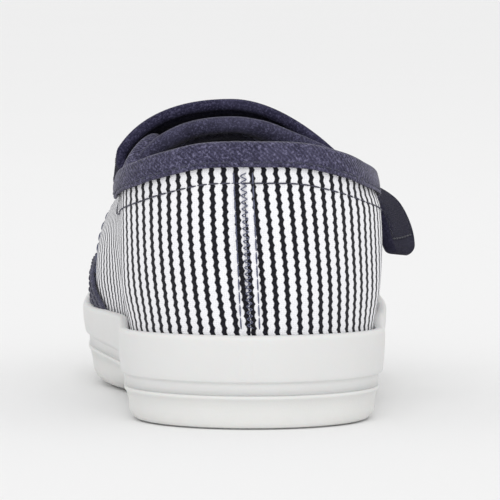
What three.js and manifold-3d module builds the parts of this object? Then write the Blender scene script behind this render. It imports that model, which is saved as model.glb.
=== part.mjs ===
// A small child's canvas sneaker for the right foot: striped canvas upper with a bound collar, toe cap,
// padded tongue and one touch-fastening strap, on a moulded rubber outsole with a foxing band around it.
//
// Millimetres. +Y runs from heel to toe, +X to the outer (lateral) side of the foot, +Z up from the floor.
// The form is worked out with the back of the heel at y = 0. The last lines move it so that the origin lies
// on the floor under the middle of the shoe's box.
import * as THREE from "three";
import { mergeVertices } from "three/addons/utils/BufferGeometryUtils.js";
import Module from "manifold-3d";

const { clamp, lerp, smoothstep } = THREE.MathUtils;
const wasm = await Module();
wasm.setup();

// ---------------------------------------------------------------- driving dimensions
const LENGTH = 160;
const HEEL_ROUND = 27; // length of the round stretch at each end of the outline
const TOE_ROUND = 45;
const TOE_POWER = 2.35; // above 2 the toe is fuller than an ellipse
const TOE_TIP_X = -4.5; // the toe points a little inwards
const WALL = 1.7; // canvas with its lining
const GAP = 0.3; // between pieces that meet

const FOXING_WALL = 2.0; // at its top edge
const FOXING_BATTER = 1.2; // how much further in the foxing's inner face is at its foot
const GROOVE_HEIGHT = 2.3; // shadow line between foxing and outsole
const SOLE_INSET = 2; // of the outsole's side under the foxing
const INSOLE_THICKNESS = 2.8;
const INSOLE_INSET = FOXING_WALL + FOXING_BATTER + WALL + 3 * GAP;

const THROAT_START = 70; // the throat is half an ellipse that opens towards the heel
const THROAT_END = 104;
const THROAT_HALF_WIDTH = 15;

const BINDING = { width: 4, thickness: 0.7, gap: 0.45 };
const TOE_CAP = { gap: 0.62, thickness: 0.6 };
const TONGUE = { back: 62, front: 112, backHalf: 0.54, frontHalf: 0.36, skew: -0.02 };
const TONGUE_PAD = { thickness: 3.4, drop: 3.7, crown: 2.2 };
const STRAP = { back: 69, front: 91, thickness: 2.4, root: -0.5, end: 0.715, roundEnd: 0.86 };
const FASTENER = { back: 71, front: 89, inner: 0.5, outer: 0.66, loop: 0.6, hook: 0.6 };
const TREAD = { depth: 1.5, width: 2.2, pitch: 6.6, wave: 2.2, rim: 7.5 };

// Outline of the sole: how far its edge lies from the centre line on each side.
const PLAN = [
  { y: 0, medial: 26.2, lateral: 26.2 },
  { y: 27, medial: 26.2, lateral: 26.2 },
  { y: 62, medial: 26.6, lateral: 27.3 },
  { y: 104, medial: 34.4, lateral: 29.4 },
  { y: 128, medial: 33.2, lateral: 27.8 },
  { y: 160, medial: 31.0, lateral: 26.4 },
];

// Heights along the sole: underside, top of the outsole's edge, top of the foxing. roll is how far in from
// the outline the underside starts.
const SOLE = [
  { y: 0, floor: 0, roll: 2.4, band: 6.6, foxing: 18.3 },
  { y: 8, floor: 0, roll: 2.7, band: 6.6, foxing: 18.2 },
  { y: 42, floor: 0, roll: 3.8, band: 6.6, foxing: 17.6 },
  { y: 66, floor: 2.2, roll: 4.4, band: 7.0, foxing: 17.1 },
  { y: 88, floor: 0, roll: 5, band: 7.8, foxing: 16.9 },
  { y: 108, floor: 0, roll: 5.4, band: 8.8, foxing: 17.5 },
  { y: 136, floor: 2.4, roll: 5, band: 10.6, foxing: 19.8 },
  { y: 160, floor: 6.4, roll: 4.4, band: 12.8, foxing: 22.6 },
];

// The last, rib by rib. Each rib climbs from the sole's edge at y to the crest over the foot.
const CREST = [
  { y: 0, crestX: 0, crestY: 42, crestZ: 90 },
  { y: 27, crestX: -1, crestY: 45, crestZ: 86 },
  { y: 48, crestX: -3, crestY: 55, crestZ: 65 },
  { y: 72, crestX: -3.4, crestY: 73, crestZ: 56.2 },
  { y: 92, crestX: -3.6, crestY: 92, crestZ: 50 },
  { y: 108, crestX: -3.8, crestY: 106, crestZ: 45.2 },
  { y: 128, crestX: -4.2, crestY: 120, crestZ: 40.8 },
  { y: 160, crestX: -4.5, crestY: 131, crestZ: 38 },
];

// The curve of each rib: steep is the share of the climb that is steep, bulge how far the wall swells there,
// shoulder how wide the top stays before it turns down.
const MEDIAL_WALL = [
  { y: 0, bulge: 4, steep: 0.5, shoulder: 0.9 },
  { y: 27, bulge: 5.2, steep: 0.5, shoulder: 0.95 },
  { y: 48, bulge: 5.6, steep: 0.66, shoulder: 0.94 },
  { y: 72, bulge: 5.2, steep: 0.78, shoulder: 0.79 },
  { y: 92, bulge: 3.1, steep: 0.77, shoulder: 0.55 },
  { y: 108, bulge: -1.6, steep: 0.6, shoulder: 0.56 },
  { y: 128, bulge: 1.6, steep: 0.68, shoulder: 0.58 },
  { y: 160, bulge: 2, steep: 0.8, shoulder: 0.64 },
];
const LATERAL_WALL = [
  { y: 0, bulge: 4, steep: 0.5, shoulder: 0.9 },
  { y: 27, bulge: 4.5, steep: 0.42, shoulder: 0.83 },
  { y: 48, bulge: 4.4, steep: 0.48, shoulder: 0.66 },
  { y: 72, bulge: 4, steep: 0.52, shoulder: 0.42 },
  { y: 92, bulge: 1.2, steep: 0.57, shoulder: 0.46 },
  { y: 108, bulge: -1.6, steep: 0.62, shoulder: 0.58 },
  { y: 128, bulge: 0.2, steep: 0.68, shoulder: 0.6 },
  { y: 160, bulge: 2, steep: 0.8, shoulder: 0.64 },
];

// Height of the canvas edge over each rib, up to the throat.
const COLLAR = [
  { y: 0, height: 54.3 },
  { y: 7, height: 52.2 },
  { y: 16, height: 49.6 },
  { y: 30, height: 47.2 },
  { y: 46, height: 46 },
  { y: 60, height: 46.8 },
  { y: 72, height: 49.2 },
];

// How far the strap's underside stands off the upper, along its length: under its back edge, and how much
// more under its front edge. c is the place across the instep.
const STRAP_LIFT = [
  { c: -0.5, back: 0.35, flare: 0 },
  { c: -0.485, back: 0.6, flare: 0 },
  { c: -0.44, back: 1.8, flare: -0.35 },
  { c: -0.2, back: 1.6, flare: -0.2 },
  { c: 0, back: 1.6, flare: 0 },
  { c: 0.36, back: 1.6, flare: 0.2 },
  { c: 0.5, back: 2.2, flare: 2.8 },
  { c: 0.6, back: 2.2, flare: 5.6 },
  { c: 0.715, back: 1.6, flare: 6.2 },
];

// Back edge of the toe cap: its station at each share of the climb from the foxing to the crest.
const TOE_CAP_EDGE = [
  { climb: 0, y: 82 },
  { climb: 0.08, y: 90 },
  { climb: 0.16, y: 97 },
  { climb: 0.24, y: 108 },
  { climb: 0.36, y: 117 },
  { climb: 0.6, y: 122 },
  { climb: 1, y: 123 },
];

// ---------------------------------------------------------------- tables
// Value of every column of a table at x, smooth and without overshoot.
function look(table, x, key = "y") {
  const n = table.length;
  const k = Math.min(n - 2, Math.max(0, table.findIndex((row) => row[key] > x) - 1));
  const from = x >= table[n - 1][key] ? n - 2 : k;
  const [a, b] = [table[from], table[from + 1]];
  const width = b[key] - a[key];
  const u = clamp((x - a[key]) / width, 0, 1);
  const slope = (i, column) => {
    return (table[i + 1][column] - table[i][column]) / (table[i + 1][key] - table[i][key]);
  };
  const tangent = (i, column) => {
    if (i === 0 || i === n - 1) return 0;
    const [before, after] = [slope(i - 1, column), slope(i, column)];
    return before * after <= 0 ? 0 : (2 * before * after) / (before + after);
  };
  const value = {};
  for (const column of Object.keys(a)) {
    const [m0, m1] = [tangent(from, column) * width, tangent(from + 1, column) * width];
    const rise = b[column] - a[column];
    value[column] = a[column] + u * (m0 + u * (3 * rise - 2 * m0 - m1 + u * (m0 + m1 - 2 * rise)));
  }
  return value;
}

// ---------------------------------------------------------------- the sole's outline
// A place round the shoe is s, from -1 at the toe along the medial side to 0 at the heel's back, and along
// the lateral side to 1 at the toe again. Places step closer together towards both ends.
const wrap = (s) => (s > 1 ? s - 2 : s < -1 ? s + 2 : s);
const stationOf = (s) => (LENGTH * (1 - Math.cos(Math.PI * Math.abs(s)))) / 2;
const placeOf = (y) => Math.acos(1 - (2 * y) / LENGTH) / Math.PI;

function outline(place) {
  const s = wrap(place);
  const y = stationOf(s);
  const { medial, lateral } = look(PLAN, y);
  const heel = y < HEEL_ROUND ? Math.sqrt(Math.max(0, 1 - (1 - y / HEEL_ROUND) ** 2)) : 1;
  const past = (y - LENGTH + TOE_ROUND) / TOE_ROUND;
  const toe = past > 0 ? Math.max(0, 1 - past ** TOE_POWER) ** (1 / TOE_POWER) : 1;
  const tip = y < LENGTH / 2 ? 0 : TOE_TIP_X;
  const reach = s < 0 ? -medial : lateral;
  return new THREE.Vector2(tip + (reach - tip) * heel * toe, y);
}

// The outline moved inwards.
function inside(s, inset) {
  const step = 0.004;
  const along = outline(s + step).sub(outline(s - step)).normalize();
  return outline(s).add(new THREE.Vector2(-along.y, along.x).multiplyScalar(inset));
}

// ---------------------------------------------------------------- the last
const FOOT_SHARE = 0.12; // share of a rib that is hidden inside the foxing

function crest(y) {
  const { crestX, crestY, crestZ } = look(CREST, y);
  return new THREE.Vector3(crestX, crestY, crestZ);
}

// The upper's outer face on the rib at s, where g runs from the foot of the wall at 0 to the crest at 1.
function rib(place, g) {
  const s = wrap(place);
  const y = stationOf(s);
  const heights = look(SOLE, y);
  const low = inside(s, FOXING_WALL + FOXING_BATTER + GAP);
  const high = inside(s, FOXING_WALL + GAP);
  const foot = new THREE.Vector3(low.x, low.y, heights.band + GAP);
  const rim = new THREE.Vector3(high.x, high.y, heights.foxing);
  if (g < FOOT_SHARE) return foot.lerp(rim, g / FOOT_SHARE);
  const { bulge, steep, shoulder } = look(s > 0 ? LATERAL_WALL : MEDIAL_WALL, y);
  const top = crest(y);
  const out = inside(s, -1).sub(inside(s, 0)).normalize();
  const climb = steep * (top.z - rim.z);
  const knee = new THREE.Vector3(rim.x + out.x * bulge, rim.y + out.y * bulge, rim.z + climb);
  const reach = rim.clone().sub(top).multiplyScalar(shoulder);
  const turn = new THREE.Vector3(top.x + reach.x, top.y + reach.y, top.z + reach.y * crestFall(y));
  return new THREE.CubicBezierCurve3(rim, knee, turn, top).getPoint((g - FOOT_SHARE) / (1 - FOOT_SHARE));
}

// Slope of the crest over the front of the foot. Over the ankle the last is open and the crest is level.
function crestFall(y) {
  const front = smoothstep(y, 72, 108);
  const along = crest(Math.min(y + 1, LENGTH)).sub(crest(Math.min(y, LENGTH - 1) - 1));
  return (front * along.z) / along.y;
}

function normal(s, g) {
  if (g > 0.9999) {
    const y = stationOf(s);
    const along = crest(Math.min(y + 1, LENGTH)).sub(crest(Math.min(y, LENGTH - 1) - 1));
    return new THREE.Vector3(0, -along.z, along.y).normalize();
  }
  const [ds, dg] = [0.003, 0.0005];
  const around = rib(s + ds, g).sub(rib(s - ds, g));
  const up = rib(s, g + dg).sub(rib(s, Math.max(FOOT_SHARE, g) === g ? g - dg : g));
  return around.cross(up).normalize();
}

const surface = (s, g, out) => rib(s, g).addScaledVector(normal(s, g), out);

// The place [s, g] on the outer face that is nearest to a point, found from a first guess.
function nearest(target, s, g) {
  const [ds, dg] = [0.002, 0.0005];
  for (let i = 0; i < 6; i++) {
    const miss = target.clone().sub(rib(s, g));
    const around = rib(s + ds, g).sub(rib(s - ds, g)).divideScalar(2 * ds);
    const up = rib(s, g).sub(rib(s, g - dg)).divideScalar(dg);
    const [aa, au, uu] = [around.dot(around), around.dot(up), up.dot(up)];
    const [ma, mu] = [miss.dot(around), miss.dot(up)];
    const scale = aa * uu - au * au;
    s += (ma * uu - mu * au) / scale;
    g += (mu * aa - ma * au) / scale;
  }
  return [s, g];
}

// The same face by station and place across it: c is -1 at the wall's medial foot, 0 on the crest, 1 at its
// lateral foot.
const across = (y, c, out) => surface(Math.sign(c || 1) * placeOf(y), 1 - Math.abs(c), out);

// Share of the rib at s that is below the topline, or 1 in front of the throat.
function topline(s) {
  const y = stationOf(s);
  if (y >= THROAT_END) return 1;
  const { height } = look(COLLAR, y);
  const throat = Math.max(0, (y - THROAT_START) / (THROAT_END - THROAT_START));
  const half = THROAT_HALF_WIDTH * Math.sqrt(Math.max(0, 1 - throat ** 2));
  const solve = (below) => {
    let [low, high] = [FOOT_SHARE, 1];
    for (let i = 0; i < 40; i++) {
      const middle = (low + high) / 2;
      if (below(rib(s, middle))) low = middle;
      else high = middle;
    }
    return low;
  };
  const collar = solve((p) => p.z < height);
  const facing = solve((p) => Math.abs(p.x - crest(y).x) > half);
  return lerp(collar, facing, smoothstep(y, 60, 74));
}

// ---------------------------------------------------------------- meshes
function spread(from, to, count) {
  return Array.from({ length: count + 1 }, (_, i) => lerp(from, to, i / count));
}

function closedGeometry(points, faces) {
  const positions = faces.flat().flatMap((i) => points[i].toArray());
  const geometry = new THREE.BufferGeometry();
  geometry.setAttribute("position", new THREE.Float32BufferAttribute(positions, 3));
  return mergeVertices(geometry, 1e-3);
}

// A sheet with two faces: point(i, j, face) gives face 0, outside, and face 1, inside, over columns and rows.
// loop joins the last column to the first. seam(i) is true where the top of column i meets another column's,
// so that the sheet has no top edge there.
function sheet(columns, rows, point, { loop = false, seam = () => false } = {}) {
  const points = [];
  for (let face = 0; face < 2; face++)
    for (let i = 0; i < columns; i++) for (let j = 0; j < rows; j++) points.push(point(i, j, face));
  const at = (i, j, face) => (face * columns + (i % columns)) * rows + j;
  const faces = [];
  const quad = (a, b, c, d) => {
    const same = (p, q) => points[p].distanceTo(points[q]) < 1e-3;
    if (!same(a, b) && !same(b, c) && !same(a, c)) faces.push([a, b, c]);
    if (!same(a, c) && !same(c, d) && !same(a, d)) faces.push([a, c, d]);
  };
  const last = loop ? columns : columns - 1;
  for (let i = 0; i < last; i++) {
    for (let j = 0; j < rows - 1; j++) {
      quad(at(i, j, 0), at(i + 1, j, 0), at(i + 1, j + 1, 0), at(i, j + 1, 0));
      quad(at(i, j, 1), at(i, j + 1, 1), at(i + 1, j + 1, 1), at(i + 1, j, 1));
    }
    quad(at(i, 0, 1), at(i + 1, 0, 1), at(i + 1, 0, 0), at(i, 0, 0));
    const top = rows - 1;
    if (!(seam(i) && seam((i + 1) % columns)))
      quad(at(i, top, 0), at(i + 1, top, 0), at(i + 1, top, 1), at(i, top, 1));
  }
  if (!loop) {
    for (let j = 0; j < rows - 1; j++) {
      quad(at(0, j, 1), at(0, j, 0), at(0, j + 1, 0), at(0, j + 1, 1));
      quad(at(last, j, 0), at(last, j, 1), at(last, j + 1, 1), at(last, j + 1, 0));
    }
  }
  return closedGeometry(points, faces);
}

// A closed profile carried round a closed loop: section(i) gives the profile's points at place i.
function ring(places, section) {
  const sections = Array.from({ length: places }, (_, i) => section(i));
  const size = sections[0].length;
  const points = sections.flat();
  const faces = [];
  for (let i = 0; i < places; i++) {
    for (let k = 0; k < size; k++) {
      const [a, b] = [i * size + k, ((i + 1) % places) * size + k];
      const [c, d] = [((i + 1) % places) * size + ((k + 1) % size), i * size + ((k + 1) % size)];
      faces.push([a, b, c], [a, c, d]);
    }
  }
  return closedGeometry(points, faces);
}

const COLUMN_PLACES = (() => {
  const corner = THROAT_START - 14;
  const throat = spread(0, 1, 8).map((u) => {
    return placeOf(THROAT_START + (THROAT_END - THROAT_START) * Math.sin((u * Math.PI) / 2));
  });
  const side = [
    ...spread(0, placeOf(corner), 9),
    ...spread(placeOf(corner), placeOf(THROAT_START), 3).slice(1, -1),
    ...throat,
    ...spread(placeOf(THROAT_END), 1, 12).slice(1),
  ];
  return [...side.slice(1).reverse().map((s) => -s), ...side.slice(0, -1)];
})();
const PLACES = COLUMN_PLACES.length;

// ---------------------------------------------------------------- pieces
// The hollow canvas upper: open at collar and throat, and underneath.
function upper() {
  const rows = 11;
  const tops = COLUMN_PLACES.map(topline);
  const share = (i, j) => {
    if (j === 0) return 0;
    return FOOT_SHARE + ((tops[i] - FOOT_SHARE) * (j - 1)) / (rows - 2);
  };
  const point = (i, j, face) => surface(COLUMN_PLACES[i], share(i, j), face ? -WALL : 0);
  return sheet(PLACES, rows, point, { loop: true, seam: (i) => tops[i] === 1 });
}

// The folded tape on the topline: a channel that takes the upper's edge and follows the wall on both sides.
function collarBinding() {
  const end = placeOf(THROAT_END);
  const run = [...COLUMN_PLACES.filter((s) => Math.abs(s) < end - 1e-6), end];
  const edge = run.map((s) => surface(s, topline(s), 0));
  const { width, thickness, gap } = BINDING;
  const [inner, outer, over] = [gap, gap + thickness, -gap - thickness];
  const profile = [
    [outer, width],
    [outer, width / 2],
    [outer, -gap],
    [inner, over],
    [-WALL - inner, over],
    [-WALL - outer, -gap],
    [-WALL - outer, width / 2],
    [-WALL - outer, width],
    [-WALL - inner, width],
    [-WALL - inner, width / 2],
    [-WALL - inner, -gap],
    [inner, -gap],
    [inner, width / 2],
    [inner, width],
  ];
  return ring(run.length, (i) => {
    const count = run.length;
    const along = edge[(i + 1) % count].clone().sub(edge[(i + count - 1) % count]).normalize();
    const down = along.cross(normal(run[i], topline(run[i]))).normalize();
    const low = nearest(edge[i].clone().addScaledVector(down, width), run[i], topline(run[i]));
    const middle = nearest(edge[i].clone().addScaledVector(down, width / 2), run[i], topline(run[i]));
    return profile.map(([out, depth]) => {
      if (depth === width) return surface(...low, out);
      if (depth > 0) return surface(...middle, out);
      return surface(run[i], topline(run[i]), out).addScaledVector(down, depth);
    });
  });
}

// The toe cap, laid on the upper from just above the foxing. Its back edge sweeps forward as it climbs.
function toeCap() {
  const rows = 9;
  const half = 13;
  const low = FOOT_SHARE + 0.02;
  const point = (i, j, face) => {
    const climb = (j / (rows - 1)) ** 1.6;
    const g = lerp(low, 1, climb);
    const { y } = look(TOE_CAP_EDGE, climb, "climb");
    const u = (i - half) / half;
    const t = 1 - (1 - placeOf(y)) * Math.abs(u);
    return surface(u > 0 ? -t : t, g, TOE_CAP.gap + (face ? 0 : TOE_CAP.thickness));
  };
  return sheet(2 * half + 1, rows, point, { seam: () => true });
}

// A padded tongue under the throat, from its rolled back edge to its seam under the vamp.
function tongue() {
  const [columns, rows] = [13, 9];
  const point = (i, j, face) => {
    const v = j / (rows - 1);
    const half = lerp(TONGUE.frontHalf, TONGUE.backHalf, v);
    const u = 1 - (2 * i) / (columns - 1);
    const c = TONGUE.skew + half * u;
    const [narrow, wide] = [(1 - u ** 2) ** 3, (1 - u ** 4) ** 2.5];
    const rise = TONGUE_PAD.crown * lerp(narrow, wide, smoothstep(v, 0.84, 0.97)) * smoothstep(v, 0.2, 0.9);
    const depth = TONGUE_PAD.drop - rise + (face ? TONGUE_PAD.thickness : 0);
    return across(lerp(TONGUE.front, TONGUE.back, v), c, -depth);
  };
  return sheet(columns, rows, point);
}

// The strap over the instep: sewn down on the medial quarter and fastened on the lateral one, its end free.
function strap() {
  const [columns, rows] = [27, 6];
  const middle = (STRAP.back + STRAP.front) / 2;
  const half = (STRAP.front - STRAP.back) / 2;
  const point = (i, j, face) => {
    const u = i / (columns - 1);
    const c = lerp(STRAP.root, STRAP.end, u);
    const past = Math.max(0, (u - STRAP.roundEnd) / (1 - STRAP.roundEnd));
    const width = half * (1 - past ** 3 * 0.45);
    const v = j / (rows - 1);
    const { back, flare } = look(STRAP_LIFT, c, "c");
    return across(middle + width * (2 * v - 1), c, back + flare * v + (face ? 0 : STRAP.thickness));
  };
  return sheet(columns, rows, point);
}

// One patch of the touch fastener under the strap, between two heights over the quarter.
function fastenerPatch(low, high) {
  const [columns, rows] = [4, 4];
  const point = (i, j, face) => {
    const c = lerp(FASTENER.inner, FASTENER.outer, i / (columns - 1));
    const y = lerp(FASTENER.back, FASTENER.front, j / (rows - 1));
    return across(y, c, face ? low : high);
  };
  return sheet(columns, rows, point);
}

// A flat solid inside the outline: the faces are filled towards the last's axis.
function bed(profile, { rows = 3 } = {}) {
  const points = [];
  const faces = [];
  const rings = [];
  const add = (at) => {
    rings.push(points.length);
    points.push(...COLUMN_PLACES.map(at));
  };
  const axis = (s) => {
    const { x, y } = crest(stationOf(s));
    return new THREE.Vector2(x, y);
  };
  const fill = ({ inset, height }, share) => {
    add((s) => {
      const p = inside(s, inset(look(SOLE, stationOf(s)))).lerp(axis(s), share);
      return new THREE.Vector3(p.x, p.y, height(look(SOLE, p.y)));
    });
  };
  const shares = spread(1, 0, rows);
  shares.forEach((share) => fill(profile[0], share));
  profile.slice(1, -1).forEach((corner) => fill(corner, 0));
  shares.reverse().forEach((share) => fill(profile.at(-1), share));
  const same = (p, q) => points[p].distanceTo(points[q]) < 1e-3;
  for (let r = 0; r < rings.length - 1; r++) {
    for (let i = 0; i < PLACES; i++) {
      const next = (i + 1) % PLACES;
      const [a, b, c, d] = [rings[r] + i, rings[r] + next, rings[r + 1] + next, rings[r + 1] + i];
      if (!same(a, b) && !same(b, c) && !same(a, c)) faces.push([a, b, c]);
      if (!same(a, c) && !same(c, d) && !same(a, d)) faces.push([a, c, d]);
    }
  }
  return closedGeometry(points, faces);
}

function insole() {
  const low = ({ band }) => band + GAP;
  const high = ({ band }) => band + GAP + INSOLE_THICKNESS;
  return bed([
    { inset: () => INSOLE_INSET, height: low },
    { inset: () => INSOLE_INSET, height: high },
  ]);
}

// The band of rubber round the foot of the upper, with the shadow groove along its lower edge.
function foxing() {
  const section = (i) => {
    const s = COLUMN_PLACES[i];
    const { band, foxing: top } = look(SOLE, stationOf(s));
    const foot = band + GAP;
    const groove = foot + GROOVE_HEIGHT;
    const profile = [
      [1.75, foot],
      [1.75, groove - 0.4],
      [0.55, groove],
      [0.1, groove + 0.35 * (top - groove)],
      [0, top - 1],
      [0.35, top - 0.25],
      [0.9, top],
      [FOXING_WALL - 0.35, top],
      [FOXING_WALL, top - 0.4],
      [FOXING_WALL + FOXING_BATTER, foot],
    ];
    return profile.map(([inset, z]) => {
      const p = inside(s, inset);
      return new THREE.Vector3(p.x, p.y, z);
    });
  };
  return ring(PLACES, section);
}

function solidOf(geometry) {
  const bare = geometry.index ? geometry.toNonIndexed() : geometry.clone();
  bare.deleteAttribute("normal");
  bare.deleteAttribute("uv");
  const merged = mergeVertices(bare, 1e-4);
  const mesh = { numProp: 3, vertProperties: merged.attributes.position.array, triVerts: merged.index.array };
  return new wasm.Manifold(new wasm.Mesh({ ...mesh, triVerts: new Uint32Array(mesh.triVerts) }));
}

function geometryOf(solid) {
  const { vertProperties, triVerts } = solid.getMesh();
  const geometry = new THREE.BufferGeometry();
  geometry.setAttribute("position", new THREE.BufferAttribute(vertProperties, 3));
  geometry.setIndex(new THREE.BufferAttribute(triVerts, 1));
  return geometry;
}

// A wavy channel across the sole at y, as a solid that is cut away.
function treadChannel(y) {
  const reach = 40;
  const waves = 8;
  const xs = spread(-reach, reach, 2 * waves);
  const zigzag = (shift) => {
    return xs.map((x, i) => new THREE.Vector2(x, y + shift + (i % 2 ? TREAD.wave : -TREAD.wave) / 2));
  };
  const shape = new THREE.Shape([...zigzag(-TREAD.width / 2), ...zigzag(TREAD.width / 2).reverse()]);
  const depth = 1 + look(SOLE, y).floor + TREAD.depth;
  return solidOf(new THREE.ExtrudeGeometry(shape, { depth, bevelEnabled: false }).translate(0, 0, -1));
}

// The outsole: its edge, toe spring and arch, with wavy channels under heel and forefoot inside a plain rim.
function outsole() {
  const body = solidOf(
    bed([
      { inset: ({ roll }) => roll, height: ({ floor }) => floor },
      { inset: ({ roll }) => lerp(SOLE_INSET, roll, 0.35), height: ({ floor, roll }) => floor + 0.3 * roll },
      { inset: () => SOLE_INSET, height: ({ floor, band }) => lerp(floor, band, 0.6) },
      { inset: () => SOLE_INSET - 0.8, height: ({ band }) => band - 0.6 },
      { inset: () => SOLE_INSET - 0.4, height: ({ band }) => band },
    ]),
  );
  const edge = COLUMN_PLACES.filter((_, i) => i % 2 === 0).map((s) => inside(s, TREAD.rim));
  const deep = { depth: 30, bevelEnabled: false };
  const field = solidOf(new THREE.ExtrudeGeometry(new THREE.Shape(edge), deep).translate(0, 0, -5));
  const heel = spread(12, 12 + 4 * TREAD.pitch, 4);
  const forefoot = spread(80, 80 + 10 * TREAD.pitch, 10);
  const channels = wasm.Manifold.union([...heel, ...forefoot].map(treadChannel));
  return geometryOf(body.subtract(channels.intersect(field)));
}

// ---------------------------------------------------------------- assembly
const NAVY = "#34344c";
const finishes = {
  rubber: new THREE.MeshStandardMaterial({ color: "#eeeeec", roughness: 0.55, metalness: 0 }),
  canvas: new THREE.MeshStandardMaterial({ color: "#c9c9d2", roughness: 0.9, metalness: 0 }),
  tape: new THREE.MeshStandardMaterial({ color: NAVY, roughness: 0.85, metalness: 0 }),
  padding: new THREE.MeshStandardMaterial({ color: NAVY, roughness: 0.9, metalness: 0 }),
  nylon: new THREE.MeshStandardMaterial({ color: "#2a2a3c", roughness: 0.95, metalness: 0 }),
  lining: new THREE.MeshStandardMaterial({ color: "#3a3a50", roughness: 0.95, metalness: 0 }),
};

const loopTop = GAP + FASTENER.loop;
const pieces = [
  ["outsole", outsole(), finishes.rubber],
  ["foxing", foxing(), finishes.rubber],
  ["insole", insole(), finishes.lining],
  ["upper", upper(), finishes.canvas],
  ["toe_cap", toeCap(), finishes.tape],
  ["collar_binding", collarBinding(), finishes.tape],
  ["tongue", tongue(), finishes.padding],
  ["strap", strap(), finishes.padding],
  ["loop_patch", fastenerPatch(GAP, loopTop), finishes.nylon],
  ["hook_patch", fastenerPatch(loopTop + GAP, loopTop + GAP + FASTENER.hook), finishes.nylon],
];

const shoe = new THREE.Group();
for (const [name, geometry, material] of pieces) {
  const mesh = new THREE.Mesh(geometry, material);
  mesh.name = name;
  shoe.add(mesh);
}

const box = new THREE.Box3().setFromObject(shoe);
const centre = box.getCenter(new THREE.Vector3());
shoe.position.set(-centre.x, -centre.y, -box.min.z);

export default shoe;
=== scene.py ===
"""Looks of a small child's canvas sneaker for the right foot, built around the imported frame.

Shapes are worked out in millimetres in the last's own frame: +Y from heel to toe, +X to the outer side of the
foot, +Z up, and the back of the heel at y = 0. in_row() turns them into metres in the row's frame.

A place on the upper is (s, g). s runs round the outline, -1 at the toe along the medial side, 0 at the back
of the heel and 1 at the toe again along the lateral side. g climbs a rib of the last from 0 at its foot to 1
at the crest. Depths and heights over the upper are measured along its normal.
"""

import bmesh
import bpy
import numpy as np
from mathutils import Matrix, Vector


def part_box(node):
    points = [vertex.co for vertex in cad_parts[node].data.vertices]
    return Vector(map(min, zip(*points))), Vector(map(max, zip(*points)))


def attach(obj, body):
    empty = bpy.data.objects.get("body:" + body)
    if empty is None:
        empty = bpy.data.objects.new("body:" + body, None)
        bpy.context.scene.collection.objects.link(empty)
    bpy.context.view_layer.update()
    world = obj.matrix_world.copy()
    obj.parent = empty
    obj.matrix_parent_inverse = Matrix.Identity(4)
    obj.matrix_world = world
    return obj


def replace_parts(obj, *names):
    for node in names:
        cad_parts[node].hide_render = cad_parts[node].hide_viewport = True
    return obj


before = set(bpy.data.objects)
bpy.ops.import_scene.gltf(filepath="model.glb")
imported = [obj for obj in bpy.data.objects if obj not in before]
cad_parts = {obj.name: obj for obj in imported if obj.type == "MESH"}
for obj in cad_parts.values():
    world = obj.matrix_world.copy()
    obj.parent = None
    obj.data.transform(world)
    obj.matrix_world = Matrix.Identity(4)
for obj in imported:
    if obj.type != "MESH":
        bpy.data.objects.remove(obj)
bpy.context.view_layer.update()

# ---------------------------------------------------------------- sizes of the last and its pieces
LENGTH = 160
HEEL_ROUND = 27
TOE_ROUND = 45
TOE_POWER = 2.35
TOE_TIP_X = -4.5
WALL = 1.7
GAP = 0.3
FOXING_WALL = 2.0
FOXING_BATTER = 1.2
GROOVE_HEIGHT = 2.3
SOLE_INSET = 2
INSOLE_THICKNESS = 2.8
INSOLE_INSET = FOXING_WALL + FOXING_BATTER + WALL + 3 * GAP
THROAT_START = 70
THROAT_END = 104
THROAT_HALF_WIDTH = 15
FOOT_SHARE = 0.12  # share of a rib that the foxing hides
STRIPE_PITCH = 2.4


class Table:
    """Rows of values against their first column, read smoothly and without overshoot."""

    def __init__(self, *rows):
        rows = np.array(rows, float)
        self.key, self.values = rows[:, 0], rows[:, 1:]
        slope = np.diff(self.values, axis=0) / np.diff(self.key)[:, None]
        before, after = slope[:-1], slope[1:]
        total = np.where(before * after > 0, before + after, 1)
        inner = np.where(before * after > 0, 2 * before * after / total, 0)
        flat = np.zeros_like(slope[:1])
        self.tangent = np.vstack([flat, inner, flat])

    def __call__(self, x):
        x = np.asarray(x, float)
        k = np.clip(np.searchsorted(self.key, x, side="right") - 1, 0, len(self.key) - 2)
        width = (self.key[k + 1] - self.key[k])[..., None]
        u = np.clip((x - self.key[k])[..., None] / width, 0, 1)
        m0, m1 = self.tangent[k] * width, self.tangent[k + 1] * width
        rise = self.values[k + 1] - self.values[k]
        curve = self.values[k] + u * (m0 + u * (3 * rise - 2 * m0 - m1 + u * (m0 + m1 - 2 * rise)))
        return np.moveaxis(curve, -1, 0)


# y, medial reach, lateral reach
PLAN = Table(
    (0, 26.2, 26.2),
    (27, 26.2, 26.2),
    (62, 26.6, 27.3),
    (104, 34.4, 29.4),
    (128, 33.2, 27.8),
    (160, 31.0, 26.4),
)
# y, underside, how far in it starts, top of the outsole's edge, top of the foxing
SOLE = Table(
    (0, 0, 2.4, 6.6, 18.3),
    (8, 0, 2.7, 6.6, 18.2),
    (42, 0, 3.8, 6.6, 17.6),
    (66, 2.2, 4.4, 7.0, 17.1),
    (88, 0, 5, 7.8, 16.9),
    (108, 0, 5.4, 8.8, 17.5),
    (136, 2.4, 5, 10.6, 19.8),
    (160, 6.4, 4.4, 12.8, 22.6),
)
# y, then the crest's x, y and z
CREST = Table(
    (0, 0, 42, 90),
    (27, -1, 45, 86),
    (48, -3, 55, 65),
    (72, -3.4, 73, 56.2),
    (92, -3.6, 92, 50),
    (108, -3.8, 106, 45.2),
    (128, -4.2, 120, 40.8),
    (160, -4.5, 131, 38),
)
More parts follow.
